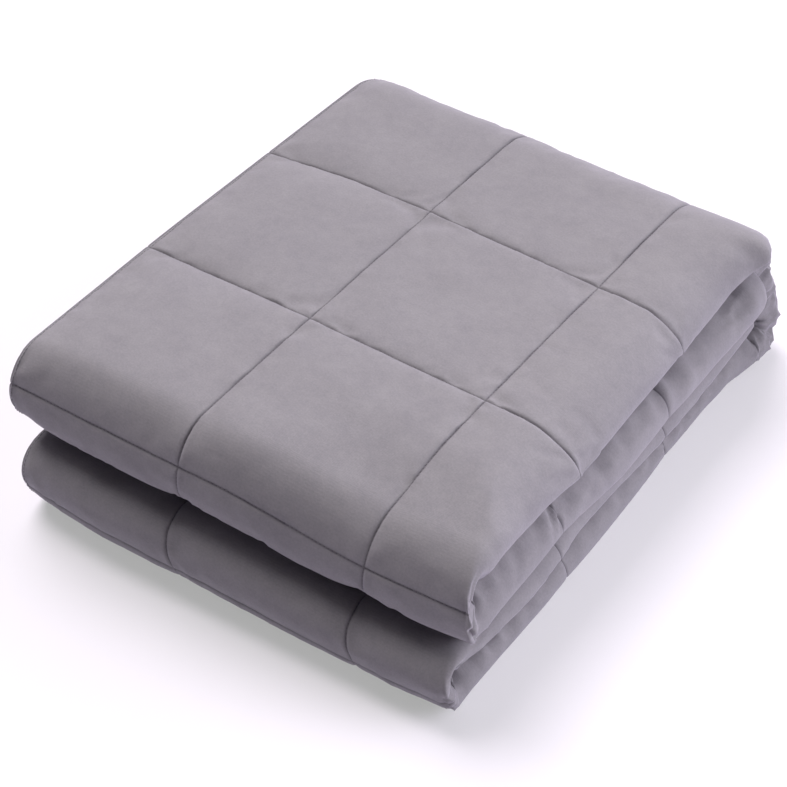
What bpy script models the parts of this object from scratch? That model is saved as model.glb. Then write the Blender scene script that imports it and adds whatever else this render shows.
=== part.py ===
"""Quilted weighted blanket, folded into a stack of four layers.

The blanket is first folded in three lengthwise, which makes a strip three plies thick: its hem lies on
the left, its big smooth fold on the right. The strip's two ends are then folded to its middle, and the
whole is folded once more, so that from the side it runs back and forth:

    layer 2 (free end inside) - upper front fold - layer 1 (top) - back wall -
    layer 4 (on the surface) - lower front fold - layer 3 (free end inside)

The solid is one sweep: the strip's three-ply section is carried along that path. Lengths are in metres,
X runs from the hem to the big fold, Y from front to back and Z up. Until the last step, X is 0 on the
first lengthwise seam and Y is 0 on the seam that crosses the top near its middle.
"""

import math

import bpy
import numpy as np

# The cloth and its pockets
SQUARE = 0.1524  # one pocket, seam to seam
PLY = 0.0109  # the filled blanket, lying under its own weight
PLY_GAP = 0.0012  # between the plies of the strip
LAYER = 3 * PLY + 2 * PLY_GAP  # the strip, over its pockets' crowns
LAYER_GAP = 0.001  # between the four layers
SEAM_DEPTH = 0.0036  # how far a seam is drawn in below the crowns
SEAM_HALF = 0.011  # half the width of a seam's valley
HEM_DEPTH = 0.0066  # how far the hem falls below the crowns
PRESSED = 0.0022  # the pockets underneath are pressed flat by this much
CROWN_POWER = 3.6  # a pocket is nearly flat in its middle

# The folds, as radii of the strip's middle line
FRONT_RADIUS = (LAYER + LAYER_GAP) / 2
BACK_TOP_RADIUS = 0.036
BACK_FOOT_RADIUS = 0.0195
BACK_LEAN = math.radians(17)  # the back wall leans out towards its foot

# Where the layers end, from front to back
UPPER_FRONT = -0.2730
LOWER_FRONT = -0.2910
TOP_BACK = 0.1085
LAYER_2_END = 0.1150
LAYER_3_END = 0.1260

# The strip's three-ply section
ROLL_DEPTH = 0.0230  # the big fold on the right, as an ellipse
ROLL_FROM = 84  # degrees from across, where the big fold starts on the outer face
INNER_PLY_END = 0.0170  # the inner ply's hem stops this short of the big fold
LEFT_FOLD_INSET = 0.0050  # the lower fold on the left lies this far inside the hem
UNDERSIDE_COLUMNS = (0.14, 0.07, 0.0, -0.07)  # across, on the strip's inner face
BETWEEN_COLUMNS = (-0.04, 0.10)  # across, on the faces between the plies
ROUND_END = 0.010  # the strip's two ends are rounded over this length,
END_HEIGHT = 0.55  # down to this part of its full height

# How closely the sections are set
END_MARKS = (0.004, 0.010)  # from each end of the strip
POCKET_MARKS = (0.2, 0.8)  # parts of a pocket, on the faces that show
FRONT_FOLD_MARKS = 9
BACK_WALL_MARKS = 11
MARK_GAP = 0.0052  # a mark on a fold is left out if another is this near

# How the stack has settled
FRONT_SKEW = 0.058  # the front folds lie askew, by this slope
FRONT_SHIFT = 0.0065  # in front, the upper two layers are plumper and press the lower two down
SHIFT_FROM, SHIFT_TO = -0.120, -0.250
SKEW_FROM, SKEW_TO = -0.10, -0.27
RIGHT_SINK, RIGHT_SINK_FROM, RIGHT_SINK_TO = 0.008, 0.180, 0.232
CORNER_SINK = 0.011  # the right end of the upper front fold has dropped
CORNER_FROM, CORNER_TO = (0.020, -0.190), (0.160, -0.275)

# Places along the path are counted in pieces: 0 to 1 is layer 2, 1 to 2 the upper front fold, 2 to 3
# layer 1, 3 to 4 the back wall, 4 to 5 layer 4, 5 to 6 the lower front fold and 6 to 7 layer 3.
# Columns: place, reach of the big fold, reach of the hem, shift of the lengthwise seams
REACH = (
    (0.00, 0.2290, -0.1460, 0.0000),
    (0.50, 0.2375, -0.1490, 0.0000),
    (1.00, 0.2400, -0.1505, 0.0000),
    (1.50, 0.2430, -0.1530, 0.0000),
    (2.00, 0.2380, -0.1530, 0.0000),
    (2.50, 0.2330, -0.1520, 0.0000),
    (3.00, 0.2310, -0.1510, 0.0000),
    (3.25, 0.2340, -0.1500, 0.0000),
    (3.50, 0.2300, -0.1490, 0.0000),
    (4.00, 0.2310, -0.1480, 0.0000),
    (4.50, 0.2300, -0.1470, -0.0020),
    (5.00, 0.2350, -0.1420, -0.0050),
    (5.50, 0.2380, -0.1400, -0.0060),
    (6.00, 0.2365, -0.1430, -0.0060),
    (6.50, 0.2305, -0.1480, -0.0030),
    (7.00, 0.2230, -0.1470, 0.0000),
)
# The cross seams, hem to hem, as places along the path
CROSS_SEAMS = (0.0, 0.373, 0.756, 1.555, 2.316, 2.716, 3.240, 4.02, 4.339, 4.690, 5.344, 6.286, 6.647, 7.0)

LAVENDER = (0.375, 0.345, 0.390, 1.0)


def smooth_step(value, start, stop):
    """0 before start and 1 past stop, with a smooth slope between them."""
    t = np.clip((value - start) / (stop - start), 0.0, 1.0)
    return t * t * (3 - 2 * t)


def line(start, stop, steps=60):
    """Points of a straight run, without its last one."""
    t = np.linspace(0, 1, steps, endpoint=False)[:, None]
    return np.array(start) + t * (np.array(stop) - np.array(start))


def on_circle(centre, radius, angle):
    """The point or points of a circle at an angle in radians, from +Y towards +Z."""
    return np.stack([centre[0] + radius * np.cos(angle), centre[1] + radius * np.sin(angle)], axis=-1)


def arc(centre, radius, first, last, steps=60):
    """Points of an arc, without its last one."""
    return on_circle(centre, radius, np.linspace(first, last, steps, endpoint=False))


def fold_path():
    """The strip's middle line from the side: places along it, and the (y, z) points there."""
    pitch = LAYER + LAYER_GAP
    height = {number: LAYER / 2 + (4 - number) * pitch - PRESSED for number in (1, 2, 3, 4)}
    top = (TOP_BACK, height[1] - BACK_TOP_RADIUS)
    wall_top = on_circle(top, BACK_TOP_RADIUS, BACK_LEAN)
    foot_z = height[4] + BACK_FOOT_RADIUS
    wall_foot_z = foot_z + BACK_FOOT_RADIUS * math.sin(BACK_LEAN)
    wall_foot_y = wall_top[0] + math.tan(BACK_LEAN) * (wall_top[1] - wall_foot_z)
    foot = (wall_foot_y - BACK_FOOT_RADIUS * math.cos(BACK_LEAN), foot_z)
    back_wall = [
        arc(top, BACK_TOP_RADIUS, math.pi / 2, BACK_LEAN),
        line(wall_top, (wall_foot_y, wall_foot_z)),
        arc(foot, BACK_FOOT_RADIUS, BACK_LEAN, -math.pi / 2),
    ]
    upper = (UPPER_FRONT, (height[1] + height[2]) / 2)
    lower = (LOWER_FRONT, (height[3] + height[4]) / 2)
    pieces = [
        line((LAYER_2_END, height[2]), (UPPER_FRONT, height[2])),
        arc(upper, FRONT_RADIUS, 1.5 * math.pi, 0.5 * math.pi),
        line((UPPER_FRONT, height[1]), (TOP_BACK, height[1])),
        np.concatenate(back_wall),
        line((foot[0], height[4]), (LOWER_FRONT, height[4])),
        arc(lower, FRONT_RADIUS, 1.5 * math.pi, 0.5 * math.pi),
        line((LOWER_FRONT, height[3]), (LAYER_3_END, height[3])),
    ]
    points = np.concatenate(pieces + [[(LAYER_3_END, height[3])]])
    length = np.concatenate([[0], np.cumsum(np.linalg.norm(np.diff(points, axis=0), axis=1))])
    starts = np.cumsum([0] + [len(piece) for piece in pieces])
    places = np.interp(length, length[starts], np.arange(len(pieces) + 1))
    return places, length, points


def crown(t):
    """How full a pocket is at t, from 0 to 1 across it: 0 on its seams and 1 in its middle."""
    return 1 - np.abs(2 * (t % 1.0) - 1) ** CROWN_POWER


def half_turn(centre, across, out, first, last, steps):
    """Points of a half ellipse in the section, both ends included; angles in degrees."""
    angles = np.radians(np.linspace(first, last, steps))
    return [(centre[0] + across * math.cos(a), centre[1] + out * math.sin(a)) for a in angles]


def section(right, left, seam_shift, fullness):
    """The strip's outline at one place, as (across, outwards) pairs.

    It follows the outer ply from the hem to the big fold and back underneath, round the lower fold on
    the left, along the inner ply to its hem, and back out between the plies.
    """
    half = LAYER / 2
    top_of_lower = -half + PLY
    bottom_of_inner = top_of_lower + PLY_GAP
    top_of_inner = bottom_of_inner + PLY
    bottom_of_upper = half - PLY
    roll_start = right - ROLL_DEPTH
    fold_radius = (top_of_inner + half) / 2
    fold_x = left + LEFT_FOLD_INSET + fold_radius
    inner_end = right - INNER_PLY_END - PLY / 2

    def outer(x):
        """The outer ply's face: crowned over each pocket, and falling away to the hem."""
        t = (x - left) / (seam_shift - left) if x < seam_shift else (x - seam_shift) / SQUARE
        depth = HEM_DEPTH + (SEAM_DEPTH - HEM_DEPTH) * t if x < seam_shift else SEAM_DEPTH
        return half - depth * (1 - crown(t) * fullness)

    across_pocket = (SEAM_HALF / SQUARE, 0.2, 0.5, 0.8, 1 - SEAM_HALF / SQUARE, 1.0)
    columns = [left] + [left + t * (seam_shift - left) for t in across_pocket]
    columns += [seam_shift + t * SQUARE for t in across_pocket]
    columns += [seam_shift + SQUARE + SEAM_HALF, seam_shift + 1.2 * SQUARE]
    outline = [(x, outer(x)) for x in columns]
    drawn_in = SEAM_DEPTH * (1 - fullness)
    outline += half_turn((roll_start, 0), ROLL_DEPTH - drawn_in, half - drawn_in, ROLL_FROM, -90, 9)
    outline += [(x, -half + drawn_in) for x in UNDERSIDE_COLUMNS]
    outline += half_turn((fold_x, fold_radius - half), fold_radius, fold_radius, -90, -270, 6)
    outline += [(x, top_of_inner) for x in BETWEEN_COLUMNS]
    outline += half_turn((inner_end, (bottom_of_inner + top_of_inner) / 2), PLY / 2, PLY / 2, 90, -90, 3)
    outline += [(x, bottom_of_inner) for x in reversed(BETWEEN_COLUMNS)]
    outline += [(fold_x, (bottom_of_inner + top_of_lower) / 2)]
    outline += [(x, top_of_lower) for x in BETWEEN_COLUMNS]
    outline += half_turn((inner_end, 0), PLY / 2 + PLY_GAP, PLY / 2 + PLY_GAP, -90, 90, 5)
    outline += [(x, bottom_of_upper) for x in reversed(BETWEEN_COLUMNS)]
    outline += [(left, bottom_of_upper)]
    return np.array(outline)


def stations():
    """The places where the section is set: on each seam, beside it and between seams, and round folds."""
    places, length, _ = fold_path()
    seams = np.interp(CROSS_SEAMS, places, length)
    marks = list(seams)
    for distance in END_MARKS:
        marks += [seams[0] + distance, seams[-1] - distance]
    for before, after in zip(seams[:-1], seams[1:]):
        marks += [before + SEAM_HALF, (before + after) / 2, after - SEAM_HALF]
        if 2 < np.interp(before, length, places) < 5 or 2 < np.interp(after, length, places) < 3:
            marks += [before + part * (after - before) for part in POCKET_MARKS]
    fold_marks = []
    for first, last, steps in ((1, 2, FRONT_FOLD_MARKS), (3, 4, BACK_WALL_MARKS), (5, 6, FRONT_FOLD_MARKS)):
        span = np.interp((first, last), places, length)
        fold_marks += list(np.linspace(*span, steps))
    marks += [m for m in fold_marks if np.abs(np.array(marks) - m).min() > MARK_GAP]
    return np.array(sorted(marks))


def fullness_at(distance, seams):
    """A pocket's crown along the strip: 0 on a cross seam and 1 half way to the next."""
    return crown(np.interp(distance, seams, np.arange(len(seams)))) if distance < seams[-1] else 0.0


def settle(points):
    """The stack under its own weight: askew in front, and lower along the right and at one corner."""
    x, y, z = points.T
    top = 4 * LAYER + 3 * LAYER_GAP
    y = y + FRONT_SKEW * x * smooth_step(-y, -SKEW_FROM, -SKEW_TO)
    sink = RIGHT_SINK * smooth_step(x, RIGHT_SINK_FROM, RIGHT_SINK_TO)
    corner = smooth_step(x, CORNER_FROM[0], CORNER_TO[0]) * smooth_step(-y, -CORNER_FROM[1], -CORNER_TO[1])
    sink = np.maximum(sink, CORNER_SINK * corner)
    part_way = np.clip(z / top, 0, 1)
    shift = FRONT_SHIFT * smooth_step(-y, -SHIFT_FROM, -SHIFT_TO)
    z = z - sink * (1 - (1 - part_way) ** 2) - shift * 4 * part_way * (1 - part_way)
    return np.column_stack([x, y, np.maximum(z, 0.0)])


def blanket_rings():
    """The swept outline, as an array of stations by outline points by (x, y, z)."""
    places, length, points = fold_path()
    slope = np.gradient(points, length, axis=0)
    slope /= np.linalg.norm(slope, axis=1)[:, None]
    reach = np.array(REACH)
    seams = np.interp(CROSS_SEAMS, places, length)
    rings = []
    for distance in stations():
        place = np.interp(distance, length, places)
        right, left, shift = (np.interp(place, reach[:, 0], reach[:, column]) for column in (1, 2, 3))
        outline = section(right, left, shift, fullness_at(distance, seams))
        middle = [np.interp(distance, length, points[:, axis]) for axis in (0, 1)]
        along = np.array([np.interp(distance, length, slope[:, axis]) for axis in (0, 1)])
        along /= np.linalg.norm(along)
        # The strip's outer face lies on the left of its path: up on layer 1, back on the wall.
        outwards = (-along[1], along[0])
        end = min(distance, length[-1] - distance, ROUND_END) / ROUND_END
        height = outline[:, 1] * (END_HEIGHT + (1 - END_HEIGHT) * math.sqrt(1 - (1 - end) ** 2))
        ring = np.column_stack(
            [outline[:, 0], middle[0] + height * outwards[0], middle[1] + height * outwards[1]]
        )
        rings.append(settle(ring))
    return np.array(rings)


def swept_mesh(name, rings):
    """A closed mesh over the rings, with a flat end on the first and the last."""
    count, size = rings.shape[:2]
    faces = []
    for ring in range(count - 1):
        for k in range(size):
            after = (k + 1) % size
            low, high = ring * size, (ring + 1) * size
            faces.append((low + k, low + after, high + after, high + k))
    faces.append(tuple(range(size))[::-1])
    faces.append(tuple((count - 1) * size + k for k in range(size)))
    mesh = bpy.data.meshes.new(name)
    mesh.from_pydata(rings.reshape(-1, 3).tolist(), [], faces)
    mesh.update()
    return mesh


def cloth_material():
    """Smooth lavender-grey cotton."""
    material = bpy.data.materials.new("lavender_cotton")
    material.use_nodes = True
    shader = material.node_tree.nodes["Principled BSDF"]
    shader.inputs["Base Color"].default_value = LAVENDER
    shader.inputs["Roughness"].default_value = 0.85
    shader.inputs["Metallic"].default_value = 0.0
    return material


def build():
    """Clears the scene and makes the blanket, centred over the origin on the surface it lies on."""
    for thing in list(bpy.data.objects):
        bpy.data.objects.remove(thing, do_unlink=True)
    rings = blanket_rings()
    corners = rings.reshape(-1, 3)
    middle = (corners.min(axis=0) + corners.max(axis=0)) / 2
    rings = rings - (middle[0], middle[1], 0.0)
    mesh = swept_mesh("blanket", rings)
    mesh.materials.append(cloth_material())
    mesh.shade_smooth()
    blanket = bpy.data.objects.new("blanket", mesh)
    bpy.context.scene.collection.objects.link(blanket)


build()
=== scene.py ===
# Folded weighted blanket: a quilted cotton blanket, lying folded on a white studio floor.
# One big surface carries the strip's three-ply section along the path of the folds. Metres throughout.
import math

import bpy
import numpy as np
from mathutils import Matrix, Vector


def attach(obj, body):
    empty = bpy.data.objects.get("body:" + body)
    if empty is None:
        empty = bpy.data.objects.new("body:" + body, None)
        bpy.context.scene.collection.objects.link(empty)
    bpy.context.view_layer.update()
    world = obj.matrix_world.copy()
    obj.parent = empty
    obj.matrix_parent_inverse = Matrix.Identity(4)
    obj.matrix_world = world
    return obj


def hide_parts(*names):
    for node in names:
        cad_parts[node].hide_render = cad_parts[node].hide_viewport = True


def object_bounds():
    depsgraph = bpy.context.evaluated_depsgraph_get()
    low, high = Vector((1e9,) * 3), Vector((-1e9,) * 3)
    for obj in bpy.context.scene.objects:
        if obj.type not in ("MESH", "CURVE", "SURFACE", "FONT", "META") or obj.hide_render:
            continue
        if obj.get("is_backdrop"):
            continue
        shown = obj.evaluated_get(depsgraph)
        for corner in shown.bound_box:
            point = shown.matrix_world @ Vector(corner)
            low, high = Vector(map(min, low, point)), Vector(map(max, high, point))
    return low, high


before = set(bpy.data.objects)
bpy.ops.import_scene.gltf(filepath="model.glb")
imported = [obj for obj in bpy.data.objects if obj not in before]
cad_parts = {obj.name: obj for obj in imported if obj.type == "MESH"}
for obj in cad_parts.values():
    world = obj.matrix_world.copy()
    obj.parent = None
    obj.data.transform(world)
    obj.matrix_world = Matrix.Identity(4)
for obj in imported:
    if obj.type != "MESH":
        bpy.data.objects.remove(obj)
cadBounds = [list(corner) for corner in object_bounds()]
scene = bpy.context.scene
print("frame loaded")

# the camera is fitted to the corners of the sewn squares
shot = {
    "azimuth": 35.85,
    "elevation": 43.55,
    "distance": 1.385,
    "lens": 90.57,
    "lookAt": (0.0515, -0.1049, 0.1385),
}


def addCamera(s):
    a, e = math.radians(s["azimuth"]), math.radians(s["elevation"])
    back = Vector((math.sin(a) * math.cos(e), -math.cos(a) * math.cos(e), math.sin(e)))
    data = bpy.data.cameras.new("studioCamera")
    data.lens = s["lens"]
    data.sensor_width = 36.0
    data.clip_start, data.clip_end = 0.05, 50.0
    cam = bpy.data.objects.new("studioCamera", data)
    scene.collection.objects.link(cam)
    cam.location = Vector(s["lookAt"]) + back * s["distance"]
    cam.rotation_mode = "QUATERNION"
    cam.rotation_quaternion = (-back).to_track_quat("-Z", "Y")
    scene.camera = cam


addCamera(shot)
print("camera placed")

blanket = {
    "square": 0.1524,  # one sewn pocket
    "ply": 0.0109,
    "plyGap": 0.0012,
    "layerGap": 0.001,
    # place, how far a seam draws the cloth in: more round the folds than on the flat top
    "seamDepth": (
        (0.0, 0.0030),
        (1.0, 0.0042),
        (1.8, 0.0040),
        (2.1, 0.0008),
        (2.95, 0.0008),
        (3.2, 0.0030),
        (5.0, 0.0040),
        (6.0, 0.0040),
        (6.3, 0.0030),
    ),
    "hemDepth": 0.0060,
    "pressed": 0.0022,
    "crownPower": 3.6,
    "backTopRadius": 0.036,
    "backFootRadius": 0.0195,
    "backLean": math.radians(17),
    "upperFront": -0.2730,
    "lowerFront": -0.2910,
    "topBack": 0.1085,
    "layer2End": 0.1300,
    "layer3End": 0.1290,
    "innerPlyEnd": 0.0190,
    "leftFoldInset": 0.0050,
    "roundEnd": 0.010,
    "endHeight": 0.55,
    "frontSkew": 0.058,
    "upperSkew": 0.017,
    "frontShift": 0.0065,
    # how far the front leans forward: part way up the stack, then at each place across in swayAcross
    "swayAcross": (-0.15, -0.07, 0.0, 0.19, 0.235),
    "frontSway": (
        (0.0, -0.0040, 0.0025, 0.0020, 0.0015, -0.0030),
        (0.2, -0.0050, 0.0010, 0.0012, 0.0010, -0.0020),
        (0.4, -0.0015, 0.0025, 0.0035, 0.0035, 0.0010),
        (0.6, 0.0015, 0.0035, 0.0055, 0.0055, 0.0025),
        (0.8, 0.0010, 0.0020, 0.0030, 0.0030, 0.0020),
        (1.0, 0.0, 0.0, 0.0, 0.0, 0.0),
    ),
    # cross seams that run askew: place, spread, amount, from here to there across
    "seamSlants": ((1.62, 0.20, -0.0014, 0.0, 0.17), (2.70, 0.14, -0.0075, -0.06, -0.16)),
    "rightSink": 0.005,
    "frontRightSink": 0.003,
    "cornerSink": 0.011,
    # where each of these sets in and where it is full: towards the front, the back, the right or the top
    "swayFront": (0.15, 0.27),
    "skewFront": (0.10, 0.27),
    "upperSkewUp": (0.3, 0.6),
    "sinkRight": (0.180, 0.232),
    "sinkBack": (0.05, 0.11),
    "sinkFront": (0.05, 0.15),
    "cornerRight": (0.020, 0.160),
    "cornerFront": (0.190, 0.275),
    "shiftFront": (0.120, 0.250),
    "rollSeam": 0.3,  # a seam draws the big fold in this much less than the flat pockets
    "rollLength": 0.064,
    "grooveDepth": 0.0008,  # the narrow crease right at a seam
    "grooveWidth": 0.0006,
    # width of the painted shade that darkens the cloth along each seam
    "seamShadeWidth": 0.00038,
    # place, reach of the big fold, reach of the hem, shift of the lengthwise seams
    "reach": (
        (0.00, 0.2310, -0.1460, 0.0000),
        (0.02, 0.2365, -0.1460, 0.0000),
        (0.06, 0.2375, -0.1462, 0.0000),
        (0.20, 0.2355, -0.1472, 0.0000),
        (0.40, 0.2372, -0.1483, 0.0000),
        (0.56, 0.2385, -0.1492, 0.0000),
        (0.70, 0.2335, -0.1500, 0.0000),
        (0.80, 0.2330, -0.1500, 0.0000),
        (0.92, 0.2325, -0.1503, 0.0000),
        (1.05, 0.2330, -0.1508, 0.0000),
        (1.20, 0.2310, -0.1520, 0.0000),
        (1.35, 0.2370, -0.1530, 0.0010),
        (1.42, 0.2390, -0.1530, 0.0013),
        (1.50, 0.2370, -0.1530, 0.0015),
        (1.65, 0.2340, -0.1530, 0.0010),
        (1.80, 0.2310, -0.1530, 0.0000),
        (1.90, 0.2300, -0.1532, 0.0000),
        (2.00, 0.2318, -0.1535, 0.0000),
        (2.12, 0.2290, -0.1543, 0.0000),
        (2.22, 0.2295, -0.1543, 0.0000),
        (2.32, 0.2320, -0.1542, 0.0000),
        (2.72, 0.2275, -0.1532, 0.0000),
        (2.92, 0.2252, -0.1525, 0.0000),
        (2.98, 0.2277, -0.1522, 0.0000),
        (3.03, 0.2316, -0.1518, 0.0000),
        (3.07, 0.2342, -0.1513, 0.0000),
        (3.12, 0.2306, -0.1508, 0.0000),
        (3.19, 0.2230, -0.1503, 0.0000),
        (3.28, 0.2188, -0.1500, 0.0000),
        (3.40, 0.2195, -0.1495, 0.0000),
        (3.50, 0.2205, -0.1490, 0.0000),
        (3.65, 0.2230, -0.1487, 0.0000),
        (3.80, 0.2270, -0.1484, 0.0000),
        (3.95, 0.2325, -0.1481, 0.0000),
        (4.02, 0.2325, -0.1480, 0.0000),
        (4.10, 0.2250, -0.1478, 0.0000),
        (4.20, 0.2243, -0.1475, 0.0000),
        (4.34, 0.2265, -0.1473, -0.0010),
        (4.50, 0.2295, -0.1470, -0.0020),
        (4.70, 0.2320, -0.1450, -0.0030),
        (5.00, 0.2315, -0.1420, -0.0040),
        (5.20, 0.2320, -0.1410, 0.0030),
        (5.35, 0.2335, -0.1400, 0.0045),
        (5.50, 0.2320, -0.1400, 0.0030),
        (5.75, 0.2310, -0.1410, -0.0045),
        (6.00, 0.2310, -0.1420, -0.0080),
        (6.15, 0.2345, -0.1440, -0.0055),
        (6.29, 0.2325, -0.1455, -0.0045),
        (6.36, 0.2285, -0.1465, -0.0040),
        (6.45, 0.2285, -0.1475, -0.0035),
        (6.65, 0.2320, -0.1480, -0.0020),
        (7.00, 0.2270, -0.1470, 0.0000),
    ),
    # place, height of the big fold's widest point over the middle of the layer towards its outer face,
    # depth and power of its outer half, depth and power of its inner half
    "edge": (
        (0.00, 0.0060, 0.014, 2.0, 0.024, 2.0),
        (0.80, 0.0080, 0.012, 1.8, 0.026, 2.0),
        (1.05, 0.0100, 0.007, 2.0, 0.028, 1.7),
        (1.30, 0.0110, 0.006, 2.4, 0.034, 1.2),
        (1.60, 0.0110, 0.006, 2.4, 0.034, 1.2),
        (1.85, 0.0090, 0.008, 2.4, 0.030, 1.3),
        (2.00, 0.0050, 0.018, 2.4, 0.024, 1.4),
        (2.15, -0.0020, 0.036, 2.0, 0.034, 1.15),
        (2.32, -0.0050, 0.042, 2.0, 0.036, 1.12),
        (2.72, -0.0050, 0.037, 2.0, 0.036, 1.12),
        (2.92, -0.0050, 0.034, 2.0, 0.036, 1.12),
        (3.00, -0.0030, 0.034, 1.9, 0.034, 1.15),
        (3.06, 0.0010, 0.028, 1.9, 0.032, 1.2),
        (3.12, 0.0060, 0.022, 2.0, 0.029, 1.4),
        (3.20, 0.0100, 0.014, 2.0, 0.026, 1.8),
        (3.50, 0.0080, 0.010, 2.2, 0.022, 2.4),
        (4.00, 0.0040, 0.016, 2.2, 0.023, 2.4),
        (4.20, 0.0030, 0.020, 2.0, 0.024, 2.2),
        (4.95, 0.0030, 0.020, 2.0, 0.024, 2.2),
        (5.20, 0.0090, 0.008, 2.2, 0.032, 1.3),
        (5.80, 0.0090, 0.008, 2.4, 0.034, 1.2),
        (6.00, 0.0030, 0.020, 2.4, 0.030, 1.2),
        (6.20, -0.0040, 0.032, 2.0, 0.034, 1.15),
        (7.00, -0.0040, 0.030, 2.0, 0.034, 1.2),
    ),
    # where the cross seams lie: 0-1 layer 2, 1-2 upper front fold, 2-3 top, 3-4 back, 4-5 layer 4 ...
    "crossSeams": (0.0, 0.395, 0.756, 1.620, 2.316, 2.716, 3.240, 4.02, 4.339, 4.690)
    + (5.410, 6.286, 6.647, 7.0),
}
layer = 3 * blanket["ply"] + 2 * blanket["plyGap"]
pitch = layer + blanket["layerGap"]


# 0 before start, 1 past stop, smooth between
def smoothStep(value, start, stop):
    t = np.clip((value - start) / (stop - start), 0.0, 1.0)
    return t * t * (3 - 2 * t)


# Hashed random heights on a square lattice, blended with the smooth step: soft bumps from -1 to 1
def softNoise(u, v, cell, seed):
    size = 97
    lattice = np.random.default_rng(seed).uniform(-1, 1, (size, size))
    a, b = u / cell + 40.3, v / cell + 40.7
    i, j = np.floor(a).astype(int), np.floor(b).astype(int)
    p, q = a - i, b - j
    p, q = p * p * (3 - 2 * p), q * q * (3 - 2 * q)
    at = lambda di, dj: lattice[(i + di) % size, (j + dj) % size]
    return (at(0, 0) * (1 - p) + at(1, 0) * p) * (1 - q) + (at(0, 1) * (1 - p) + at(1, 1) * p) * q


def lineRun(start, stop, steps=160):
    t = np.linspace(0, 1, steps, endpoint=False)[:, None]
    return np.array(start) + t * (np.array(stop) - np.array(start))


def arcRun(centre, radius, first, last, steps=160):
    angle = np.linspace(first, last, steps, endpoint=False)
    return np.stack([centre[0] + radius * np.cos(angle), centre[1] + radius * np.sin(angle)], -1)


# The strip's middle line seen from the side: straight layers joined by round folds and the leaning back wall
def foldPath(b):
    height = {n: layer / 2 + (4 - n) * pitch - b["pressed"] for n in (1, 2, 3, 4)}
    lean, rTop, rFoot = b["backLean"], b["backTopRadius"], b["backFootRadius"]
    top = (b["topBack"], height[1] - rTop)
    wallTop = (top[0] + rTop * math.cos(lean), top[1] + rTop * math.sin(lean))
    footZ = height[4] + rFoot
    wallFootZ = footZ + rFoot * math.sin(lean)
    wallFootY = wallTop[0] + math.tan(lean) * (wallTop[1] - wallFootZ)
    foot = (wallFootY - rFoot * math.cos(lean), footZ)
    upper = (b["upperFront"], (height[1] + height[2]) / 2)
    lower = (b["lowerFront"], (height[3] + height[4]) / 2)
    runs = [
        lineRun((b["layer2End"], height[2]), (b["upperFront"], height[2])),
        arcRun(upper, pitch / 2, 1.5 * math.pi, 0.5 * math.pi),
        lineRun((b["upperFront"], height[1]), (b["topBack"], height[1])),
        np.concatenate(
            [
                arcRun(top, rTop, math.pi / 2, lean),
                lineRun(wallTop, (wallFootY, wallFootZ)),
                arcRun(foot, rFoot, lean, -math.pi / 2),
            ]
        ),
        lineRun((foot[0], height[4]), (b["lowerFront"], height[4])),
        arcRun(lower, pitch / 2, 1.5 * math.pi, 0.5 * math.pi),
        lineRun((b["lowerFront"], height[3]), (b["layer3End"], height[3])),
    ]
    points = np.concatenate(runs + [[(b["layer3End"], height[3])]])
    length = np.concatenate([[0], np.cumsum(np.linalg.norm(np.diff(points, axis=0), axis=1))])
    starts = np.cumsum([0] + [len(run) for run in runs])
    place = np.interp(length, length[starts], np.arange(8))
    return place, length, points


# Marks between two seams: crowded at both seams, even between
def pocketMarks(start, stop, near, step):
    near = [n for n in near if n < 0.4 * (stop - start)]
    count = max(2, int(round((stop - start - 2 * near[-1]) / step)) + 1)
    middle = np.linspace(start + near[-1], stop - near[-1], count)
    return np.concatenate([start + np.array(near[:-1]), middle, stop - np.array(near[:-1])[::-1]])


spacing = {
    "fineStep": 0.0044,  # between stations along the strip, where it shows
    "coarseStep": 0.0060,  # and where it is hidden
    "acrossStep": 0.0050,
    "rollColumns": 34,
    # distances from a seam that get a mark of their own
    "fineNear": [0.0, 0.0005, 0.0012, 0.0024, 0.0045, 0.0075, 0.011],
    "coarseNear": [0.0, 0.0008, 0.0025, 0.006],
    # places that are split again: from, to, how many times
    "closer": ((1.15, 1.85, 2), (5.15, 5.85, 1), (3.05, 3.95, 1)),
    "outside": ((0.9, 4.1), (4.9, 6.25)),  # places along the strip that show
    "sameMark": 1e-4,
    "splitOver": 0.0014,
}


# Where the section is set along the strip: fine on all that shows from outside, coarser inside, and split
# again at the places in closer
def stationMarks(b, path, fineStep, coarseStep, near, nearInside, closer=()):
    place, length, _ = path
    seams = np.interp(b["crossSeams"], place, length)
    marks = []
    for before, after in zip(seams[:-1], seams[1:]):
        mid = np.interp((before + after) / 2, length, place)
        shows = any(first < mid < last for first, last in spacing["outside"])
        close, step = (near, fineStep) if shows else (nearInside, coarseStep)
        marks.append(pocketMarks(before, after, close, step))
    marks = np.unique(np.round(np.concatenate(marks), 6))
    marks = marks[np.concatenate([[True], np.diff(marks) > spacing["sameMark"]])]
    for start, stop, times in closer:
        for _ in range(times):
            between = (marks[1:] + marks[:-1]) / 2
            at = np.interp(between, length, place)
            wanted = (at > start) & (at < stop) & (np.diff(marks) > spacing["splitOver"])
            marks = np.sort(np.concatenate([marks, between[wanted]]))
    return marks


# How full a pocket is: 0 on its seams, 1 in its middle, nearly flat between
def crown(t, power):
    return 1 - np.abs(2 * (t % 1.0) - 1) ** power


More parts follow.
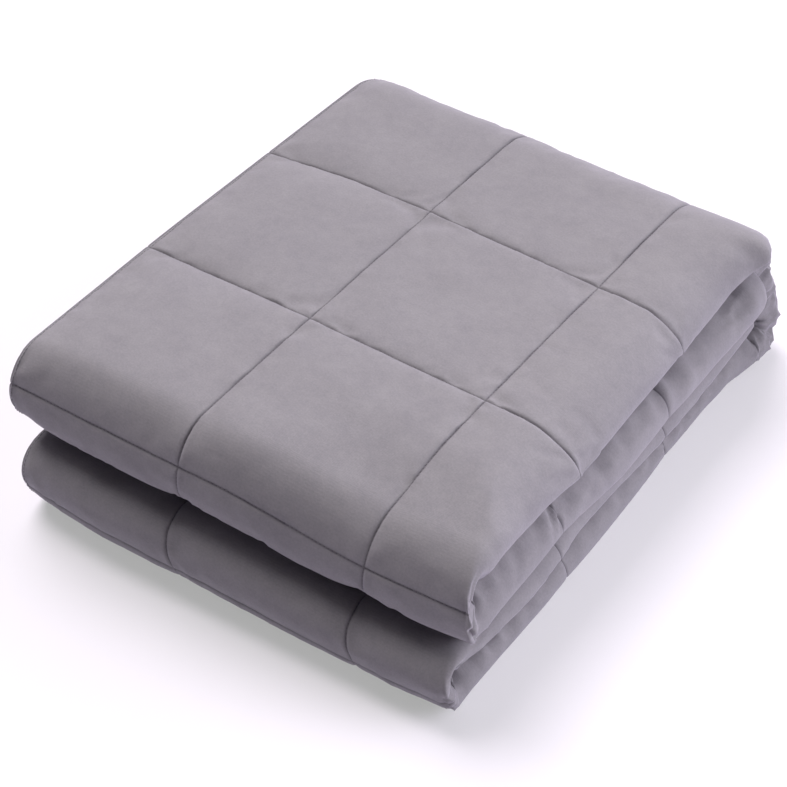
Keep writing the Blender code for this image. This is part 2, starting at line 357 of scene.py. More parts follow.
# The three-ply outline for all stations at once: outer ply from hem to big fold, round and back underneath,
# round the left fold, along the inner ply, and back between the plies to the hem
def sectionGrid(b, right, left, shift, full, edge, seamDepth, columns):
    half = layer / 2
    square = b["square"]
    widest, outDepth, outPower, inDepth, inPower = edge
    topOfLower = -half + b["ply"]
    bottomOfInner = topOfLower + b["plyGap"]
    topOfInner = bottomOfInner + b["ply"]
    bottomOfUpper = half - b["ply"]
    rollStart = right - outDepth
    foldRadius = (topOfInner + half) / 2
    foldX = left + b["leftFoldInset"] + foldRadius
    innerEnd = right - b["innerPlyEnd"] - b["ply"] / 2
    one = np.ones_like(right)
    endTurn, backTurn = 0.1, 0.14  # parts of a pocket that the pattern gives to the two inner turns
    foldGap, hemRound = 0.0006, 0.0014
    across, height, pocket, roll = [], [], [], []

    # roll runs from 0 to 1 round the big fold, is below 0 on the outer face and 2 inside
    def put(x, h, p, r=2.0):
        across.append(x + 0 * one)
        height.append(h + 0 * one)
        pocket.append(p + 0 * one)
        roll.append(r + 0 * one)

    def outer(x, p):
        depth = np.where(p < 1, b["hemDepth"] + (seamDepth - b["hemDepth"]) * p, seamDepth)
        return half - depth * (1 - crown(p, b["crownPower"]) * full)

    xB = shift + square
    for p in columns["hemPocket"]:
        put(left + p * (shift - left), outer(0, p * one), p, -1.0)
    for p in columns["midPocket"]:
        put(shift + p * square, outer(0, 1 + p * one), 1 + p, -1.0)
    for p in columns["edgePocket"]:
        x = xB + p * (rollStart - xB)
        tx = 2 + (x - xB) / square
        put(x, outer(x, tx), tx, (x - rollStart) / b["rollLength"])
    drawnIn = seamDepth * (1 - full) * b["rollSeam"]
    rollFrom = 2 + (rollStart - xB) / square
    rollTurn = b["rollLength"] / square
    for angle in columns["roll"]:
        a = math.radians(angle)
        power = outPower if angle > 0 else inPower
        stretch = (abs(math.cos(a)) ** power + abs(math.sin(a)) ** power) ** (-1 / power)
        depth = outDepth if angle > 0 else inDepth
        x = right - drawnIn - depth + depth * math.cos(a) * stretch
        rise = outer(rollStart, rollFrom) - widest if angle > 0 else half - drawnIn + widest
        turned = (90 - angle) / 180
        put(x, widest + rise * math.sin(a) * stretch, rollFrom + rollTurn * turned, turned)
    underFrom = rollFrom + rollTurn
    underStart = right - drawnIn - inDepth
    for q in columns["under"]:
        x = underStart + q * (foldX - underStart)
        put(x, -half + drawnIn, underFrom + (underStart - x) / square, 1 + (underStart - x) / b["rollLength"])
    leftFrom = underFrom + (underStart - foldX) / square
    for angle in columns["leftFold"]:
        a = math.radians(angle)
        x = foldX + foldRadius * math.cos(a)
        turned = foldRadius * math.radians(-90 - angle)
        put(x, foldRadius - half + foldRadius * math.sin(a), leftFrom + turned / square)
    innerFrom = leftFrom + math.pi * foldRadius / square
    for q in columns["inner"]:
        x = foldX + q * (innerEnd - foldX)
        put(x, topOfInner, innerFrom + (x - foldX) / square)
    endFrom = innerFrom + (innerEnd - foldX) / square
    for angle in columns["end"]:
        a = math.radians(angle)
        x = innerEnd + b["ply"] / 2 * math.cos(a)
        rise = (bottomOfInner + topOfInner) / 2 + b["ply"] / 2 * math.sin(a)
        put(x, rise, endFrom + (90 - angle) / 180 * endTurn)
    for q in columns["inner"][::-1]:
        x = foldX + q * (innerEnd - foldX)
        put(x, bottomOfInner, endFrom + endTurn + (innerEnd - x) / square)
    backFrom = endFrom + endTurn + (innerEnd - foldX) / square
    put(foldX - foldGap, (bottomOfInner + topOfLower) / 2, backFrom)
    for q in columns["inner"]:
        x = foldX + q * (innerEnd - foldX)
        put(x, topOfLower, backFrom + (x - foldX) / square)
    turnRadius = b["ply"] / 2 + b["plyGap"]
    turnFrom = backFrom + (innerEnd - foldX) / square
    for angle in columns["turn"]:
        a = math.radians(angle)
        x = innerEnd + turnRadius * math.cos(a)
        put(x, turnRadius * math.sin(a), turnFrom + (90 + angle) / 180 * backTurn)
    lastFrom = turnFrom + backTurn
    for q in columns["lastPly"]:
        x = innerEnd + q * (left - innerEnd)
        put(x, bottomOfUpper, lastFrom + (innerEnd - x) / square)
    hemTop = outer(0, 0 * one)
    hemMiddle, hemHalf = (hemTop + bottomOfUpper) / 2, (hemTop - bottomOfUpper) / 2
    for angle in columns["hemEdge"]:
        a = math.radians(angle)
        x = left + hemRound * math.cos(a)
        put(x, hemMiddle + hemHalf * math.sin(a), lastFrom + (innerEnd - left) / square)
    return [np.concatenate(part, 1) for part in (across, height, pocket, roll)]


# The columns of the section, as the numbers sectionGrid walks through
def sectionColumns(b, near, step, rollCount):
    square = b["square"]
    whole = pocketMarks(0.0, square, near, step) / square
    edgeLength = 0.40 * square  # of the last pocket, this much lies flat before the big fold
    edge = pocketMarks(0.0, 0.9 * square, near, step)
    edge = edge[edge < edgeLength] / edgeLength
    return {
        "hemPocket": whole,
        "midPocket": whole[1:],
        "edgePocket": edge[1:-1],
        "roll": np.linspace(84, -90, rollCount),
        "under": np.linspace(0.05, 0.97, 9),
        "leftFold": np.linspace(-90, -270, 10),
        "inner": np.linspace(0.05, 0.98, 4),
        "end": np.linspace(80, -80, 3),
        "turn": np.linspace(-80, 80, 4),
        "lastPly": np.append(np.linspace(0.05, 0.9, 3), 0.995),
        "hemEdge": np.linspace(250, 120, 4),
    }


# The stack settles: askew in front, lower along the right and at one corner, never under the floor
def settle(b, x, y, z):
    top = 4 * layer + 3 * b["layerGap"]
    partWay = np.clip(z / top, 0, 1)
    sway, across = np.array(b["frontSway"]), b["swayAcross"]
    forward = sum(
        np.interp(partWay, sway[:, 0], sway[:, n + 1]) * np.interp(x, across, np.eye(len(across))[n])
        for n in range(len(across))
    )
    forward = forward * smoothStep(-y, *b["swayFront"])
    skew = b["frontSkew"] * x + b["upperSkew"] * np.maximum(x, 0) * smoothStep(partWay, *b["upperSkewUp"])
    y = y + skew * smoothStep(-y, *b["skewFront"]) - forward
    backSlump = b["rightSink"] * (1 - 0.8 * smoothStep(y, *b["sinkBack"]))
    slump = backSlump + b["frontRightSink"] * smoothStep(-y, *b["sinkFront"])
    sink = slump * smoothStep(x, *b["sinkRight"])
    corner = smoothStep(x, *b["cornerRight"]) * smoothStep(-y, *b["cornerFront"])
    sink = np.maximum(sink, b["cornerSink"] * corner)
    shift = b["frontShift"] * smoothStep(-y, *b["shiftFront"])
    # 6.75 makes the shift full at its most, two thirds of the way up
    z = z - sink * (1 - (1 - partWay) ** 2) - shift * 6.75 * partWay**2 * (1 - partWay)
    return x, y, np.maximum(z, 0.0)


# The whole sweep: (stations x columns x 3) points, with each point's place, pocket numbers across and along
def sweepBlanket(b, marks, columns):
    place, length, points = path
    slope = np.gradient(points, length, axis=0)
    slope /= np.linalg.norm(slope, axis=1)[:, None]
    seams = np.interp(b["crossSeams"], place, length)
    at = np.interp(marks, length, place)
    along = np.interp(marks, seams, np.arange(len(seams)))
    reach = np.array(b["reach"])
    right, left, shift = (np.interp(at, reach[:, 0], reach[:, c])[:, None] for c in (1, 2, 3))
    full = crown(along, b["crownPower"])
    full[0] = full[-1] = 0.0
    edgeRows = np.array(b["edge"])
    edge = [np.interp(at, edgeRows[:, 0], edgeRows[:, c])[:, None] for c in range(1, 6)]
    seamRows = np.array(b["seamDepth"])
    seamDepth = np.interp(at, seamRows[:, 0], seamRows[:, 1])[:, None]
    across, height, pocket, roll = sectionGrid(b, right, left, shift, full[:, None], edge, seamDepth, columns)
    slid = marks[:, None] + sum(
        amount * smoothStep(across, start, stop) * np.exp(-(((at[:, None] - middle) / spread) ** 2))
        for middle, spread, amount, start, stop in b["seamSlants"]
    )
    middleY, middleZ = (np.interp(slid, length, points[:, c]) for c in (0, 1))
    aheadY, aheadZ = (np.interp(slid, length, slope[:, c]) for c in (0, 1))
    size = np.hypot(aheadY, aheadZ)
    end = np.minimum(np.minimum(marks, length[-1] - marks), b["roundEnd"]) / b["roundEnd"]
    height = height * (b["endHeight"] + (1 - b["endHeight"]) * np.sqrt(1 - (1 - end) ** 2))[:, None]
    y = middleY - height * aheadZ / size
    z = middleZ + height * aheadY / size
    x, y, z = settle(b, across, y, z)
    return np.stack([x, y, z], -1), at[:, None] + 0 * across, pocket, along[:, None] + 0 * across, roll


# Outward normals of the closed grid, from the differences to its neighbours
def gridNormals(points):
    alongS = np.gradient(points, axis=0)
    acrossC = np.roll(points, -1, axis=1) - np.roll(points, 1, axis=1)
    normal = np.cross(acrossC, alongS)
    return normal / (np.linalg.norm(normal, axis=2)[:, :, None] + 1e-12)


# A closed mesh from the grid, with its pocket numbers as the UV map
def gridMesh(name, points, pocket, along):
    rows, cols = points.shape[:2]
    r, c = np.meshgrid(np.arange(rows - 1), np.arange(cols), indexing="ij")
    after = (c + 1) % cols
    low, high = r * cols, (r + 1) * cols
    quads = np.stack([low + c, low + after, high + after, high + c], -1).reshape(-1, 4)
    caps = [list(range(cols))[::-1], list((rows - 1) * cols + np.arange(cols))]
    mesh = bpy.data.meshes.new(name)
    mesh.from_pydata(points.reshape(-1, 3).tolist(), [], quads.tolist() + caps)
    mesh.update()
    u = np.concatenate([pocket, pocket[:, -1:] + 0.01], 1)
    corner = lambda a, dr, dc: a[np.ix_(np.arange(rows - 1) + dr, np.arange(cols) + dc)]
    v = np.concatenate([along, along[:, -1:]], 1)
    around = ((0, 0), (0, 1), (1, 1), (1, 0))
    uv = np.stack([np.stack([corner(a, dr, dc) for dr, dc in around], -1) for a in (u, v)], -1).reshape(-1, 2)
    capUv = np.concatenate([np.stack([pocket[0][::-1], along[0]], -1), np.stack([pocket[-1], along[-1]], -1)])
    layerUv = mesh.uv_layers.new(name="pockets")
    layerUv.data.foreach_set("uv", np.concatenate([uv, capUv]).astype(np.float32).ravel())
    mesh.shade_smooth()
    return mesh


path = foldPath(blanket)
marks = stationMarks(
    blanket,
    path,
    spacing["fineStep"],
    spacing["coarseStep"],
    spacing["fineNear"],
    spacing["coarseNear"],
    spacing["closer"],
)
columns = sectionColumns(blanket, spacing["fineNear"], spacing["acrossStep"], spacing["rollColumns"])
points, places, pockets, alongs, rolls = sweepBlanket(blanket, marks, columns)
print("swept", points.shape, "quads", points.shape[0] * points.shape[1])

shell = {
    "step": 0.0038,  # spacing of the simulated cloth's points
    "near": [0.0, 0.0026, 0.006],
    "hiddenStep": 0.03,
    "hiddenNear": [0.0, 0.01],
    "rollColumns": 26,
    "quality": 6,
    "pressure": 4.0,
    "spare": 0.024,  # the cloth is this much longer than the seams that hold it
    "tension": 12.0,
    "bending": 0.08,
    "frames": 20,
    "cap": 0.0011,  # no point moves further than this
}


# Reads a table at fractional rows with the Catmull-Rom cubic through the four rows around each
def readRows(table, at):
    i = np.clip(np.floor(at).astype(int), 0, len(table) - 2)
    t = (np.clip(at, 0, len(table) - 1) - i).reshape((-1,) + (1,) * (table.ndim - 1))
    w, x, y, z = (table[np.clip(i + n, 0, len(table) - 1)] for n in (-1, 0, 1, 2))
    return x + 0.5 * t * (y - w + t * (2 * w - 5 * x + 4 * y - z + t * (3 * (x - y) + z - w)))


# The shell between its seams is simulated as cloth on a coarser grid: held on every seam and wherever it is
# hidden, a little longer than its seams, and blown up from inside, so that it puckers along them. What comes
# back is how far each point of the fine grid moves
def shellMoves(s, b):
    coarse = stationMarks(b, path, s["step"], s["hiddenStep"], s["near"], s["hiddenNear"])
    coarseColumns = sectionColumns(b, s["near"], s["step"], s["rollColumns"])
    start, at, pocket, along, roll = sweepBlanket(b, coarse, coarseColumns)
    width = int(np.sum(roll[0] <= 1.0)) + 2
    start, at, pocket, along, roll = (a[:, :width] for a in (start, at, pocket, along, roll))
    rows = len(start)
    r, c = np.meshgrid(np.arange(rows - 1), np.arange(width - 1), indexing="ij")
    quads = np.stack([r * width + c, r * width + c + 1, (r + 1) * width + c + 1, (r + 1) * width + c], -1)
    mesh = bpy.data.meshes.new("shellCloth")
    mesh.from_pydata(start.reshape(-1, 3).tolist(), [], quads.reshape(-1, 4).tolist())
    cloth = bpy.data.objects.new("shellCloth", mesh)
    scene.collection.objects.link(cloth)
    shows = smoothStep(at, 0.95, 1.1) * (1 - smoothStep(at, 3.95, 4.1))
    shows = np.maximum(shows, smoothStep(at, 4.95, 5.1) * (1 - smoothStep(at, 6.0, 6.1)))
    shows = shows * (1 - smoothStep(roll, 0.9, 1.0)) * smoothStep(pocket, 0.012, 0.03)
    onCross, onLong = (np.abs(a - np.round(a)) < 1e-3 for a in (along, pocket))
    onSeam = onCross | (onLong & (roll < -0.2))
    held = np.where(onSeam, 1.0, 1 - shows).ravel()
    group = cloth.vertex_groups.new(name="held")
    for level in np.unique(np.round(held, 2)):
        group.add(np.where(np.round(held, 2) == level)[0].tolist(), float(level), "REPLACE")
    modifier = cloth.modifiers.new("cloth", "CLOTH")
    settings = modifier.settings
    settings.quality = s["quality"]
    settings.vertex_group_mass = "held"
    settings.use_pressure = True
    settings.uniform_pressure_force = s["pressure"]
    settings.effector_weights.gravity = 0.0
    settings.shrink_min = -s["spare"]
    settings.tension_stiffness = settings.compression_stiffness = s["tension"]
    settings.shear_stiffness = s["tension"] / 3
    settings.bending_stiffness = s["bending"]
    modifier.collision_settings.use_collision = False
    modifier.collision_settings.use_self_collision = False
    for frameNumber in range(1, s["frames"] + 1):
        scene.frame_set(frameNumber)
    settled = cloth.evaluated_get(bpy.context.evaluated_depsgraph_get()).to_mesh()
    after = np.empty(len(settled.vertices) * 3, np.float32)
    settled.vertices.foreach_get("co", after)
    scene.frame_set(1)
    bpy.data.objects.remove(cloth)
    moved = after.reshape(start.shape) - start
    size = np.linalg.norm(moved, axis=2, keepdims=True)
    print("shell settled, mean move %.2f mm, most %.2f mm" % (1000 * size.mean(), 1000 * size.max()))
    moved = moved * s["cap"] / np.sqrt(s["cap"] ** 2 + size**2)
    wide = readRows(moved, np.interp(marks, coarse, np.arange(rows)))
    narrow = np.interp(pockets[0], pocket[0], np.arange(width))
    return readRows(wide.swapaxes(0, 1), narrow).swapaxes(0, 1)


points = points + shellMoves(shell, blanket)


# How near a seam is, from 1 on it to 0 away from it: falls off as exp(-distance / width)
def needleDepth(b, pocket, along, rho, width):
    square = b["square"]
    du = np.abs(pocket - np.round(pocket)) * square
    dv = np.abs(along - np.round(along)) * square
    du = np.where((rho > -0.2) | (pocket > 2.6), 1.0, du)
    a, c = np.exp(-du / width), np.exp(-dv / width)
    return 1 - (1 - a) * (1 - c)


# The narrow crease at a seam: deepest on it, fading out within a few millimetres
def seamCrease(b, pocket, along, rho):
    return b["grooveDepth"] * needleDepth(b, pocket, along, rho, b["grooveWidth"])


wrinkles = {
    "lie": 0.00050,  # the cloth never lies dead flat
    "lieCells": (0.037, 0.015),
    "wallCells": (0.0105, 0.006),
    "cornerCell": 0.0080,
    "slantCell": 0.03,
    "fadeCell": 0.05,
    "puckerAmp": 0.0009,  # short ticks across every seam, where the thread draws the cloth together
    "puckerCell": 0.0062,
    "puckerReach": 0.0050,
    "rollAmp": 0.0040,  # short pulls across the big folds
    "rollCell": 0.0090,
    "wallAmp": 0.0032,  # the back wall's ends are crumpled
    "cornerAmp": 0.0036,
    # deep tucks: place, rho at one end, rho at the other end, depth, width
    "tucks": (
        (1.30, 0.30, 0.75, 0.0034, 0.0012),
        (1.48, 0.25, 0.60, 0.0028, 0.0012),
        (1.66, 0.35, 0.80, 0.0022, 0.0012),
        (3.26, 0.30, 0.80, 0.0020, 0.0016),
        (3.42, 0.05, 1.00, 0.0056, 0.0026),
        (3.62, 0.20, 0.70, 0.0020, 0.0016),
        (3.86, 0.10, 0.95, 0.0036, 0.0018),
        (5.30, 0.20, 0.55, 0.0022, 0.0010),
        (5.52, 0.30, 0.75, 0.0026, 0.0011),
    ),
}


# Creased noise: crests where the soft noise crosses zero, so that they are sharp and the hollows round
def ridges(u, v, cell, seed):
    return 1 - 2 * np.abs(softNoise(u, v, cell, seed)) ** 0.75


# Outward moves of the cloth, in metres: a soft lie all over what shows, ticks across the seams, pulls
# running across the big folds from where two layers pinch them, crumples at the back wall's end, pulls
# fanning out from the front corners, and a few deep tucks, each falling off as exp(-(distance / width)
# squared). The last number of each noise is its seed
def wrinkleField(w, b, pocket, along, places, rho):
    u, v = pocket * b["square"], along * b["square"]
    shows = smoothStep(places, 0.95, 1.15) * (1 - smoothStep(places, 4.0, 4.25))
    shows = np.maximum(shows, smoothStep(places, 5.0, 5.2) * (1 - smoothStep(places, 5.85, 6.05)))
    onFace = 1 - smoothStep(rho, 1.0, 1.3)
    broad, small = w["lieCells"]
    field = w["lie"] * (softNoise(u, v, broad, 3) + 0.45 * softNoise(u, v, small, 4)) * shows * onFace
    du = np.abs(pocket - np.round(pocket)) * b["square"]
    dv = np.abs(along - np.round(along)) * b["square"]
    reach, cell = w["puckerReach"], w["puckerCell"]
    acrossSeam = softNoise(v, np.round(pocket) * 0.5 + 0 * v, cell, 12) * np.exp(-du / reach)
    acrossSeam = acrossSeam * (rho < -0.1) * smoothStep(du, 0.0, 0.002)
    alongSeam = softNoise(u, np.round(along) * 0.5 + 0 * u, cell, 13) * np.exp(-dv / reach)
    field = field + w["puckerAmp"] * (acrossSeam + alongSeam * smoothStep(dv, 0.0, 0.002)) * shows * onFace
    onRoll = smoothStep(rho, 0.1, 0.35) * (1 - smoothStep(rho, 1.0, 1.12))
    pinch = 0.05 + 0.95 * smoothStep(rho, 0.42, 0.78)
    pinch = pinch * (1 - 0.6 * smoothStep(places, 2.0, 2.15) * (1 - smoothStep(places, 2.9, 3.0)))
    slant = v + 0.026 * rho + 0.004 * softNoise(u, v, w["slantCell"], 8)
    cell = w["rollCell"]
    pulls = 0.7 * ridges(slant, rho * 0.014, cell, 5) + 0.5 * softNoise(slant, rho * 0.02, cell / 2, 6)
    fade = 0.35 + 0.65 * smoothStep(softNoise(v, 0 * v, w["fadeCell"], 7), -0.5, 0.6)
    field = field + w["rollAmp"] * pulls * onRoll * pinch * fade
    onWall = smoothStep(places, 3.1, 3.25) * (1 - smoothStep(places, 3.85, 4.1))
    broad, small = w["wallCells"]
    crumple = ridges(v + 0.3 * u, u * 0.4, broad, 9) + 0.5 * softNoise(v - 0.2 * u, u, small, 10)
    rises, falls = smoothStep(rho, 0.05, 0.6), 1 - smoothStep(rho, 1.1, 1.3)
    field = field + w["wallAmp"] * crumple * onWall * rises * falls
    onFold = smoothStep(places, 1.05, 1.3) * (1 - smoothStep(places, 1.80, 2.0))
    onFold = np.maximum(onFold, smoothStep(places, 5.1, 5.35) * (1 - smoothStep(places, 5.75, 6.0)))
    fan = ridges(v + 0.4 * u, 0.3 * u, w["cornerCell"], 11)
    rises, falls = smoothStep(rho, 0.05, 0.35), 1 - smoothStep(rho, 1.0, 1.15)
    field = field + w["cornerAmp"] * fan * onFold * rises * falls
    for place, start, stop, depth, width in w["tucks"]:
        near = np.interp(place, places[:, 0], v[:, 0]) + 0.006 * (rho - start)
        fadeEnds = smoothStep(rho, start - 0.15, start + 0.1) * (1 - smoothStep(rho, stop - 0.1, stop + 0.15))
        field = field - depth * np.exp(-(((v - near) / width) ** 2)) * fadeEnds
    return field


normals = gridNormals(points)
creases = seamCrease(blanket, pockets, alongs, rolls)
moves = wrinkleField(wrinkles, blanket, pockets, alongs, places, rolls) - creases
points = points + normals * moves[:, :, None]
points[:, :, 2] = np.maximum(points[:, :, 2], 0.0)

# the sweep starts at the first lengthwise seam; this brings it to the frame's origin, as the solid was
toOrigin = np.array([-0.04366717, 0.07521734, 0.0])
points = points + toOrigin

blanketMesh = gridMesh("foldedBlanket", points, pockets, alongs)
blanketObject = bpy.data.objects.new("foldedBlanket", blanketMesh)
scene.collection.objects.link(blanketObject)
print("blanket made:", len(blanketMesh.polygons), "faces")

stitch = {
    "pitch": 0.0033,  # from one needle hole to the next
    "length": 0.0025,
    "thick": 0.00062,
    "lift": 0.00028,  # the middle of a stitch stands this much above its ends
    "sink": 0.00008,
    "sides": 6,
    "rings": 5,
    "hemInset": 0.0026,
}


# Where the stitches of one row lie: evenly along the line of points, with the way ahead and the way out there
def stitchSpots(line, outward, pitch):
    run = np.concatenate([[0], np.cumsum(np.linalg.norm(np.diff(line, axis=0), axis=1))])
    count = max(2, int(round(run[-1] / pitch)))
    at = (np.arange(count) + 0.5) * run[-1] / count
    look = lambda values, places: np.stack([np.interp(places, run, values[:, c]) for c in range(3)], -1)
    ahead = look(line, at + pitch / 3) - look(line, at - pitch / 3)
    return look(line, at), ahead, look(outward, at)


# Each stitch is a small bow: centre = spot + ahead * (-cos t) + out * (lift * sin t), its radius falls as
# sin t to the power 0.6 towards both ends, and each end closes in one point
def stitchMesh(name, s, spots, ahead, out):
    ahead = ahead / np.linalg.norm(ahead, axis=1)[:, None]
    out = out - ahead * np.sum(out * ahead, 1)[:, None]
    out = out / np.linalg.norm(out, axis=1)[:, None]
    side = np.cross(ahead, out)
    turn = np.linspace(0, math.pi, s["rings"] + 2)
    around = np.arange(s["sides"]) * 2 * math.pi / s["sides"]
    bow = lambda t: (
        spots[:, None]
        - ahead[:, None] * s["length"] / 2 * np.cos(t)[None, :, None]
        + out[:, None] * (s["lift"] * np.sin(t) - s["sink"])[None, :, None]
    )
    inner = turn[1:-1]
    radius = s["thick"] / 2 * np.sin(inner) ** 0.6
    cosine, sine = np.cos(around)[None, None, :, None], np.sin(around)[None, None, :, None]
    ringSpots = bow(inner)[:, :, None] + radius[None, :, None, None] * (
        side[:, None, None] * cosine + out[:, None, None] * sine
    )
    ends = bow(turn[[0, -1]])
    count, rings, sides = len(spots), s["rings"], s["sides"]
    each = rings * sides + 2
    vertices = np.concatenate([ringSpots.reshape(count, rings * sides, 3), ends], 1).reshape(-1, 3)
    r, k = np.meshgrid(np.arange(rings - 1), np.arange(sides), indexing="ij")
    after = (k + 1) % sides
    low, high = r * sides, (r + 1) * sides
    quads = np.stack([low + k, high + k, high + after, low + after], -1).reshape(-1, 4)
    k = np.arange(sides)
    after = (k + 1) % sides
    last = (rings - 1) * sides
    tips = np.concatenate(
        [
            np.stack([np.full(sides, each - 2), k, after], -1),
            np.stack([np.full(sides, each - 1), last + after, last + k], -1),
        ]
    )
    start = np.arange(count)[:, None, None] * each
    faces = (quads[None] + start).reshape(-1, 4).tolist() + (tips[None] + start).reshape(-1, 3).tolist()
    mesh = bpy.data.meshes.new(name)
    mesh.from_pydata(vertices.tolist(), [], faces)
    mesh.shade_smooth()
    return mesh


# The rows of stitches: both lengthwise seams, the hem's topstitch, and each cross seam that shows
def stitchRows(b, s):
    out = gridNormals(points)
    shown = [np.where((places[:, 0] > lo) & (places[:, 0] < hi))[0] for lo, hi in ((0.98, 4.02), (5.0, 6.04))]
    outer = np.where(rolls[0] <= -0.99)[0]
    hemColumn = int(np.argmin(np.abs(pockets[0, outer] * b["square"] - s["hemInset"])))
    lineColumns = [hemColumn] + [int(np.argmin(np.abs(pockets[0, outer] - n))) for n in (1, 2)]
    rows = [(points[run, c], out[run, c]) for run in shown for c in lineColumns]
    for n in range(1, len(b["crossSeams"]) - 1):
        row = int(np.argmin(np.abs(alongs[:, 0] - n)))
        place = places[row, 0]
        if 0.98 < place < 4.05 or 5.0 < place < 6.05:
            across = np.where((rolls[row] <= 1.02) & (np.arange(points.shape[1]) >= hemColumn))[0]
            rows.append((points[row, across], out[row, across]))
    return [stitchSpots(line, normal, s["pitch"]) for line, normal in rows]


spots, ahead, out = (np.concatenate(part) for part in zip(*stitchRows(blanket, stitch)))
stitchesMesh = stitchMesh("lockstitch", stitch, spots, ahead, out)
stitchesObject = bpy.data.objects.new("lockstitch", stitchesMesh)
scene.collection.objects.link(stitchesObject)
print("stitches made:", len(spots))


def linear(hexColour):
    parts = [int(hexColour[i : i + 2], 16) / 255 for i in (1, 3, 5)]
    return tuple(p / 12.92 if p <= 0.04045 else ((p + 0.055) / 1.055) ** 2.4 for p in parts) + (1.0,)


def addNode(tree, kind, settings=None, values=None, links=None):
    node = tree.nodes.new(kind)
    for name, value in (settings or {}).items():
        setattr(node, name, value)
    for name, value in (values or {}).items():
        node.inputs[name].default_value = value
    for name, source in (links or {}).items():
        tree.links.new(source, node.inputs[name])
    return node


cotton = {
    "worn": "#8D8990",  # where the nap is brushed up
    "deep": "#817D85",  # where the nap lies down
    "seam": "#56525B",  # painted shade down in the seam creases
    "roughness": 0.88,
    "sheen": 0.28,
    "sheenRoughness": 0.4,
    "sheenTint": "#E9E0FF",
    "mottle": 38.0,  # patches of about 26 mm
    "cloud": 120.0,  # smaller patches of about 8 mm
    "nap": 620.0,  # tufts of about 1.6 mm, drawn coarser than the real 0.2 mm so that they show
    # threads to a pocket, 1.2 mm apart: real ones lie about 0.4 mm apart and are too fine to show
    "threads": 127.0,
    "weaveDepth": 0.00003,
    "napDepth": 0.00010,
}


# Brushed cotton sateen, woven and then napped: matt and even, faintly mottled where the nap turns, with a
# soft sheen at grazing angles and a fine weave under it; painted shade darkens the cloth along the seam lines
def cottonMaterial(c):
    material = bpy.data.materials.new("brushedCotton")
    material.use_nodes = True
    tree = material.node_tree
    shader = tree.nodes["Principled BSDF"]
    shader.inputs["Roughness"].default_value = c["roughness"]
    shader.inputs["Sheen Weight"].default_value = c["sheen"]
    shader.inputs["Sheen Roughness"].default_value = c["sheenRoughness"]
    shader.inputs["Sheen Tint"].default_value = linear(c["sheenTint"])
    place = addNode(tree, "ShaderNodeTexCoord").outputs["Object"]
    mottle = addNode(tree, "ShaderNodeTexNoise", {}, {"Scale": c["mottle"], "Detail": 2.0}, {"Vector": place})
    cloud = addNode(tree, "ShaderNodeTexNoise", {}, {"Scale": c["cloud"], "Detail": 3.0}, {"Vector": place})
    nap = addNode(tree, "ShaderNodeTexNoise", {}, {"Scale": c["nap"], "Detail": 2.0}, {"Vector": place})
    patches = addNode(
        tree, "ShaderNodeMath", {"operation": "ADD"}, {}, {0: mottle.outputs["Fac"], 1: cloud.outputs["Fac"]}
    )
    tufts = addNode(
        tree,
        "ShaderNodeMath",
        {"operation": "MULTIPLY_ADD"},
        {1: 1.5},
        {0: nap.outputs["Fac"], 2: patches.outputs[0]},
    )
    spread = addNode(
        tree, "ShaderNodeMapRange", {}, {"From Min": 1.25, "From Max": 2.25}, {"Value": tufts.outputs[0]}
    )
    # of a colour Mix node, socket 6 is A, 7 is B and output 2 the result
    ground = addNode(
        tree,
        "ShaderNodeMix",
        {"data_type": "RGBA"},
        {6: linear(c["deep"]), 7: linear(c["worn"])},
        {"Factor": spread.outputs["Result"]},
    )
    # painted shade: near each seam the cloth colour is mixed towards the dark seam colour, standing in for
    # the shade down in the seam crease
    needle = addNode(tree, "ShaderNodeAttribute", {"attribute_name": "paintedSeamShade"})
    cloth = addNode(
        tree,
        "ShaderNodeMix",
        {"data_type": "RGBA"},
        {7: linear(c["seam"])},
        {"Factor": needle.outputs["Fac"], 6: ground.outputs[2]},
    )
    tree.links.new(cloth.outputs[2], shader.inputs["Base Color"])
    grid = addNode(tree, "ShaderNodeUVMap", {"uv_map": "pockets"})
    bands = {"Scale": c["threads"] * math.pi / 10, "Distortion": 1.5, "Detail": 1.0, "Detail Scale": 0.6}
    warp = addNode(tree, "ShaderNodeTexWave", {"bands_direction": "X"}, bands, {"Vector": grid.outputs["UV"]})
    weft = addNode(tree, "ShaderNodeTexWave", {"bands_direction": "Y"}, bands, {"Vector": grid.outputs["UV"]})
    weave = addNode(
        tree, "ShaderNodeMath", {"operation": "MAXIMUM"}, {}, {0: warp.outputs["Fac"], 1: weft.outputs["Fac"]}
    )
    weaveBump = addNode(
        tree,
        "ShaderNodeBump",
        {},
        {"Strength": 1.0, "Distance": c["weaveDepth"]},
        {"Height": weave.outputs[0]},
    )
    napBump = addNode(
        tree,
        "ShaderNodeBump",
        {},
        {"Strength": 1.0, "Distance": c["napDepth"]},
        {"Height": nap.outputs["Fac"], "Normal": weaveBump.outputs["Normal"]},
    )
    tree.links.new(napBump.outputs["Normal"], shader.inputs["Normal"])
    return material


thread = {
    "colour": "#6C6870",
    "roughness": 0.55,
    "sheen": 0.2,
    "twists": 2600.0,
    "bumpStrength": 0.6,
    "bumpDepth": 0.0001,
}


